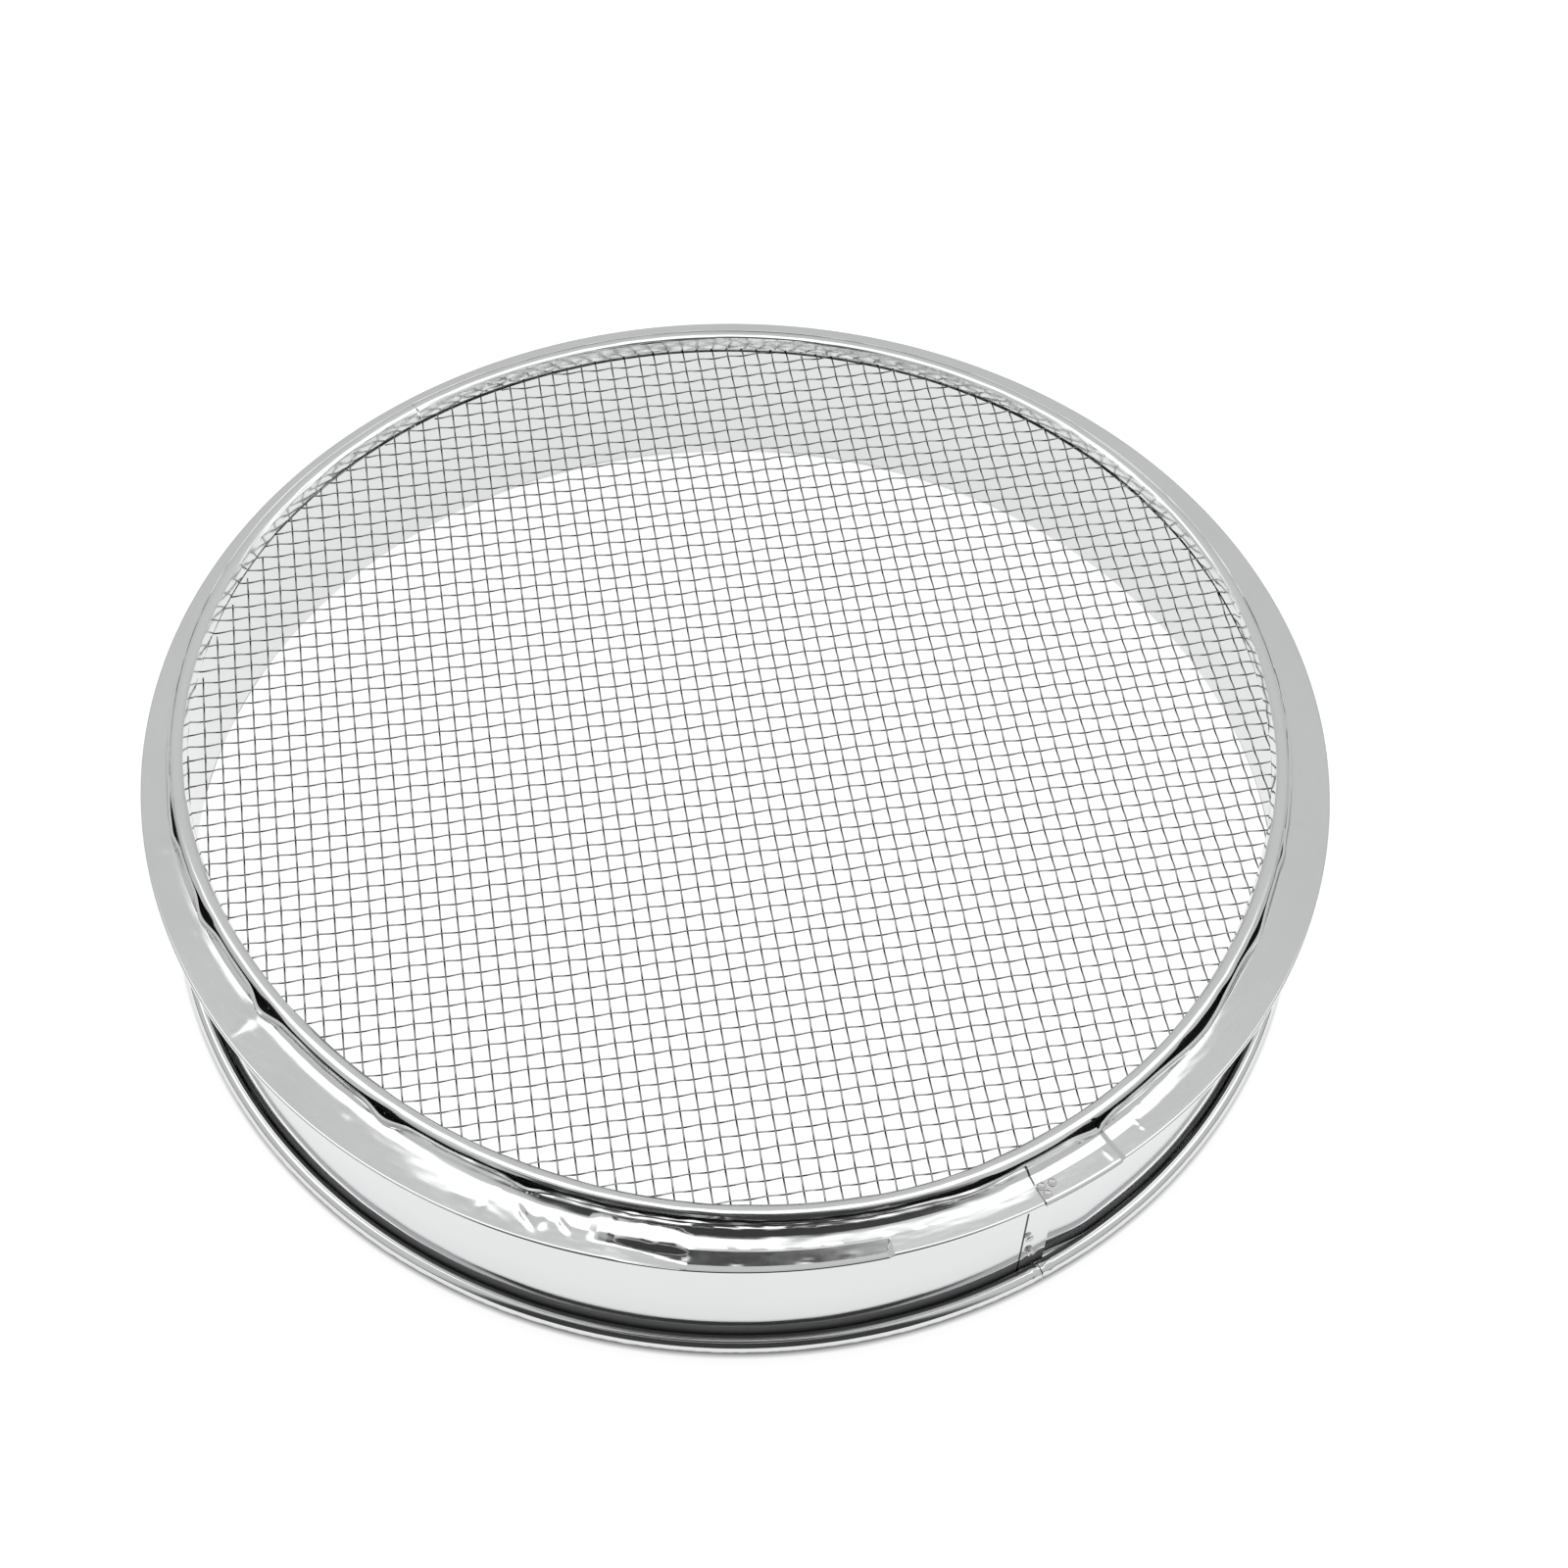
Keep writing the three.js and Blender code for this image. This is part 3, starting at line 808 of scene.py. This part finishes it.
# ---- Retaining ring ----

RING_WAVES = [(0.04, 5, 16, 31)]
RING_CRUMPLE = (0.006, (20, 110), 32)
RING_SHOULDER = 0.6 * MM
RING_EDGE_FILLET = 0.5 * MM
RING_CROWN_RISE, RING_CROWN_FILLET = 0.25 * MM, 2.9 * MM


def retaining_ring():
    """A channel bent from strip, with a round top and an inner side that leans in at its foot."""
    inner = RING_OUTER - RING_WIDTH
    shoulder = RING_CREST - RING_SHOULDER
    corners = [
        (RING_OUTER, RING_FOOT, 0),
        (RING_OUTER, shoulder, RING_EDGE_FILLET),
        (RING_OUTER - 0.5 * RING_WIDTH, RING_CREST + RING_CROWN_RISE, RING_CROWN_FILLET),
        (inner, shoulder, RING_EDGE_FILLET),
        (inner - RING_RAKE, RING_FOOT, 0),
    ]
    path = rounded_path(corners, RING_SPACING)[::-1]
    angles = stations(RING_SEAM, 0.1, -0.1, [(RING_SEAM, 1.0, 0.08)])
    crumpled = crumple(angles, path_lengths(path), *RING_CRUMPLE)
    away = waviness(angles, RING_WAVES)[:, None] + crumpled
    middles = stood_off(repeated(path, angles), away)
    middles[:, :, 0] += ring_push(angles)[:, None]
    return sweep_sheet("ring_channel", middles, angles, RING_STEEL)


finish_piece(retaining_ring(), ["retaining_ring"])


# ---- Woven wire cloth ----

WIRE = 0.41 * MM
CRIMP = 0.25 * MM
WARP_PITCH = 4.174 * MM
WEFT_PITCH = 4.083 * MM
WARP_TURN = 10.4
WEFT_TURN = 101.2
WIRE_SIDES = 6
SAMPLES_PER_PITCH = 6
WIRE_SHARP = 60.0
# How unevenly a wire lies: its place (mm), and the height, length and range of phase of its slow sway.
JITTER = 0.05
SWAY = 0.10 * MM
SWAY_LENGTH = 23 * MM
SWAY_PHASES = (0, 6.28)


def wire_family(material, pitch, turn, crossed_pitch, crossed_turn, first_up, seed, halves):
    """Parallel crimped wires, pitch apart, each over one wire of the other family and under the next. Halves
    lists the pieces to make, with the range of wires in each as a share of the outermost wire's number."""
    rng = np.random.default_rng(seed)
    count = int(CLOTH_RADIUS / pitch)
    turned = math.radians(turn)
    across = np.array([math.cos(turned), math.sin(turned), 0.0])
    along = np.array([-math.sin(turned), math.cos(turned), 0.0])
    crossed = math.radians(crossed_turn)
    over_crossed = np.array([math.cos(crossed), math.sin(crossed), 0.0]) / crossed_pitch
    ring = np.linspace(0, 2 * math.pi, WIRE_SIDES, endpoint=False)
    pieces = []
    for piece_name, first, last in halves:
        vertices, faces = [], []
        for index in range(-count, count + 1):
            if not first <= index / count < last:
                continue
            x = index * pitch + rng.normal() * JITTER * MM
            half = math.sqrt(max(CLOTH_RADIUS**2 - x**2, 0))
            if half < pitch:
                continue
            ends = math.degrees(math.atan2(half, x))
            low, high = (half + ring_push(turn + e) * half / CLOTH_RADIUS for e in (-ends, ends))
            samples = max(4, int(2 * half / crossed_pitch * SAMPLES_PER_PITCH))
            y = np.linspace(-low, high, samples)
            sway = SWAY * np.sin(y / SWAY_LENGTH + rng.uniform(*SWAY_PHASES))
            middle = (x + sway)[:, None] * across + y[:, None] * along
            swing = first_up * np.cos(math.pi * (middle @ over_crossed + index))
            middle[:, 2] = CLOTH_Z + CRIMP * swing
            tangent = np.gradient(middle, axis=0)
            tangent /= np.linalg.norm(tangent, axis=1)[:, None]
            side = np.broadcast_to(across, tangent.shape)
            upward = np.cross(side, tangent)
            loops = (
                middle[:, None, :]
                + 0.5 * WIRE * np.cos(ring)[None, :, None] * side[:, None, :]
                + 0.5 * WIRE * np.sin(ring)[None, :, None] * upward[:, None, :]
            )
            base = sum(len(loop) for loop in vertices)
            vertices.append(loops.reshape(-1, 3))
            body = grid_faces(samples, WIRE_SIDES) + base
            faces += body[:, ::-1].tolist()
            faces.append([base + k for k in range(WIRE_SIDES)])
            faces.append([base + (samples - 1) * WIRE_SIDES + k for k in reversed(range(WIRE_SIDES))])
        pieces.append(mesh_object(piece_name, np.concatenate(vertices), faces, material, WIRE_SHARP))
    return pieces


warp_halves = [("warp_left", -2, 0), ("warp_right", 0, 2)]
weft_halves = [("weft_front", -2, 0), ("weft_back", 0, 2)]
warp, weft = (WARP_PITCH, WARP_TURN), (WEFT_PITCH, WEFT_TURN)
for piece in wire_family(WARP_WIRE_SHADED, *warp, *weft, first_up=1, seed=41, halves=warp_halves):
    finish_piece(piece, ["warp_wires"])
for piece in wire_family(WEFT_WIRE_LIT, *weft, *warp, first_up=-1, seed=42, halves=weft_halves):
    finish_piece(piece, ["weft_wires"])


# ---- Core wire and welds ----

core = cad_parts["rim_wire"]
core.data.materials.clear()
core.data.materials.append(CORE_WIRE)
for polygon in core.data.polygons:
    polygon.material_index = 0

NUGGET = 1.0 * MM
NUGGET_OUTLINE = [
    (0, 0.10 * MM),
    (0.45 * NUGGET, 0.09 * MM),
    (0.70 * NUGGET, 0.12 * MM),
    (0.84 * NUGGET, 0.22 * MM),
    (0.95 * NUGGET, 0.20 * MM),
    (1.05 * NUGGET, 0.05 * MM),
    (1.08 * NUGGET, -0.10 * MM),
    (0, -0.12 * MM),
]
# How far the mark's own middle lies below the nugget's, along the way it faces.
HOOP_SINK = 0.45 * MM
WALL_SINK = 0.54 * MM


def weld_mark(node):
    """A dished electrode mark with a raised edge, where the CAD's nugget is."""
    low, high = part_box(node)
    centre = (low + high) / 2
    if node.startswith("hoop"):
        facing, sink = Vector((0, 0, 1)), HOOP_SINK
    else:
        facing, sink = Vector((centre.x, centre.y, 0)).normalized(), WALL_SINK
    mark = lathe_disc(node + "_mark", NUGGET_OUTLINE, WELD_STEEL)
    turned = facing.to_track_quat("Z", "Y").to_matrix().to_4x4()
    mark.data.transform(Matrix.Translation(centre - facing * sink) @ turned)
    finish_piece(mark, [node])


for weld in (
    "hoop_weld_inner", "hoop_weld_outer", "hoop_weld_lip", "wall_weld_upper", "wall_weld_lower", "rim_weld",
):
    weld_mark(weld)


# ---- Floor, light and camera ----

FLOOR_SIZE = 6.0
FLOOR_GLOW = 0.94
# Brightness of the floor by its place in a strip along the rim's outer edge: the shadow where they touch.
CONTACT = (-4 * MM, 8 * MM)
CONTACT_SHADOW_GLOW = [(0.0, 1.0), (0.25, 1.0), (0.34, 0.06), (0.46, 0.2), (0.58, 0.95), (1.0, 1.0)]
# Brightness of the parts of the studio; the room's is at the horizon and overhead.
ROOM = (0.58, 0.70)
SOFTBOX = 1.7
DARK_SIDE = 0.055
LAMP = 0.9


def floor():
    """A plain white floor that glows a little, with a painted shadow round the rim."""
    material, nodes = new_material("floor_white")
    place = nodes.add("ShaderNodeTexCoord").outputs["Object"]
    mottle = nodes.noise(place, 6.0, 2.0)
    colour = nodes.ramp(mottle, [(0.0, 0.22), (1.0, 0.24)])
    shader = nodes.add("ShaderNodeBsdfPrincipled")
    shader.inputs["Roughness"].default_value = 0.9
    shader.inputs["Specular IOR Level"].default_value = 0.1
    shader.inputs["Emission Strength"].default_value = FLOOR_GLOW
    x, y, _ = nodes.split(place)
    outward = nodes.math("SUBTRACT", nodes.distance(x, y), BEAD_CENTRE[0])
    # Painted shadow: the floor's glow drops in a strip along the rim's outer edge.
    glow = nodes.ramp(nodes.spread(outward, *CONTACT, 0.0, 1.0), CONTACT_SHADOW_GLOW)
    nodes.join(glow, shader.inputs["Emission Color"])
    nodes.join(colour, shader.inputs["Base Color"])
    nodes.output(shader)
    bpy.ops.mesh.primitive_plane_add(size=FLOOR_SIZE, location=(0, 0, FLOOR_Z))
    plane = bpy.context.object
    plane.name = "floor"
    plane.data.materials.append(material)


def studio_world():
    """A grey room that is darker near the horizon, with a soft white light overhead and a dark side where the
    camera stands, crossed by one thin lamp."""
    world = bpy.data.worlds.new("studio")
    world.use_nodes = True
    world.node_tree.nodes.clear()
    nodes = Nodes(world.node_tree)
    x, y, z = nodes.split(nodes.add("ShaderNodeTexCoord").outputs["Generated"])

    def smooth(value, low, high):
        """0 below low and 1 above high; the other way round where low is the larger."""
        node = nodes.add("ShaderNodeMapRange", interpolation_type="SMOOTHSTEP")
        node.inputs["From Min"].default_value = low
        node.inputs["From Max"].default_value = high
        nodes.join(value, node.inputs["Value"])
        return node.outputs[0]

    def both(first, second):
        return nodes.math("MULTIPLY", first, second)

    def blend(mask, under, over):
        node = nodes.add("ShaderNodeMix", data_type="FLOAT")
        nodes.join(mask, node.inputs["Factor"])
        for socket, value in ((node.inputs["A"], under), (node.inputs["B"], over)):
            if isinstance(value, (int, float)):
                socket.default_value = value
            else:
                nodes.join(value, socket)
        return node.outputs["Result"]

    # Limits are components of the unit direction, but wide is x over -y.
    from_horizon = nodes.math("ABSOLUTE", nodes.math("SUBTRACT", z, 0.05))
    room = both(nodes.spread(z, 0.0, 0.85, *ROOM), nodes.spread(from_horizon, 0.05, 0.12, 0.25, 1.0))
    sideways = nodes.math("ABSOLUTE", x)
    overhead = both(smooth(y, -0.06, 0.0), smooth(y, 0.42, 0.36))
    softbox = both(both(smooth(sideways, 0.66, 0.56), smooth(z, 0.0, 0.2)), overhead)
    lit = blend(softbox, room, SOFTBOX)
    wide = nodes.math("DIVIDE", sideways, nodes.math("MAXIMUM", nodes.math("MULTIPLY", y, -1.0), 0.02))
    behind = both(smooth(y, -0.03, -0.09), smooth(wide, 1.05, 0.70))
    lamp = both(smooth(z, 0.900, 0.906), smooth(z, 0.926, 0.920))
    strength = blend(behind, lit, blend(lamp, DARK_SIDE, LAMP))
    background = nodes.add("ShaderNodeBackground")
    nodes.join(strength, background.inputs["Color"])
    output = nodes.add("ShaderNodeOutputWorld")
    nodes.join(background.outputs[0], output.inputs["Surface"])
    bpy.context.scene.world = world


# The camera, solved from the photo's perspective: angles in degrees, focal length in pixels of its width.
ELEVATION, AZIMUTH, ROLL = 53.2, -0.5, 2.5
TARGET, DISTANCE = Vector((0.0119, -0.0144, 0.047)), 0.6721
FOCAL_PX, WIDTH_PX = 2730.0, 1600.0


def camera():
    elevation, azimuth, roll = math.radians(ELEVATION), math.radians(AZIMUTH), math.radians(ROLL)
    offset = Vector(
        (
            math.sin(azimuth) * math.cos(elevation),
            -math.cos(azimuth) * math.cos(elevation),
            math.sin(elevation),
        )
    )
    forward = -offset
    right = forward.cross(Vector((0, 0, 1))).normalized()
    upward = right.cross(forward)
    right, upward = (
        right * math.cos(roll) + upward * math.sin(roll),
        upward * math.cos(roll) - right * math.sin(roll),
    )
    data = bpy.data.cameras.new("camera")
    data.sensor_width = 36.0
    data.lens = FOCAL_PX / WIDTH_PX * data.sensor_width
    data.clip_start = 0.01
    made = bpy.data.objects.new("camera", data)
    bpy.context.scene.collection.objects.link(made)
    turned = Matrix((right, upward, -forward)).transposed().to_4x4()
    made.matrix_world = Matrix.Translation(TARGET + offset * DISTANCE) @ turned
    bpy.context.scene.camera = made


floor()
studio_world()
camera()
bpy.context.scene.view_settings.view_transform = "Standard"
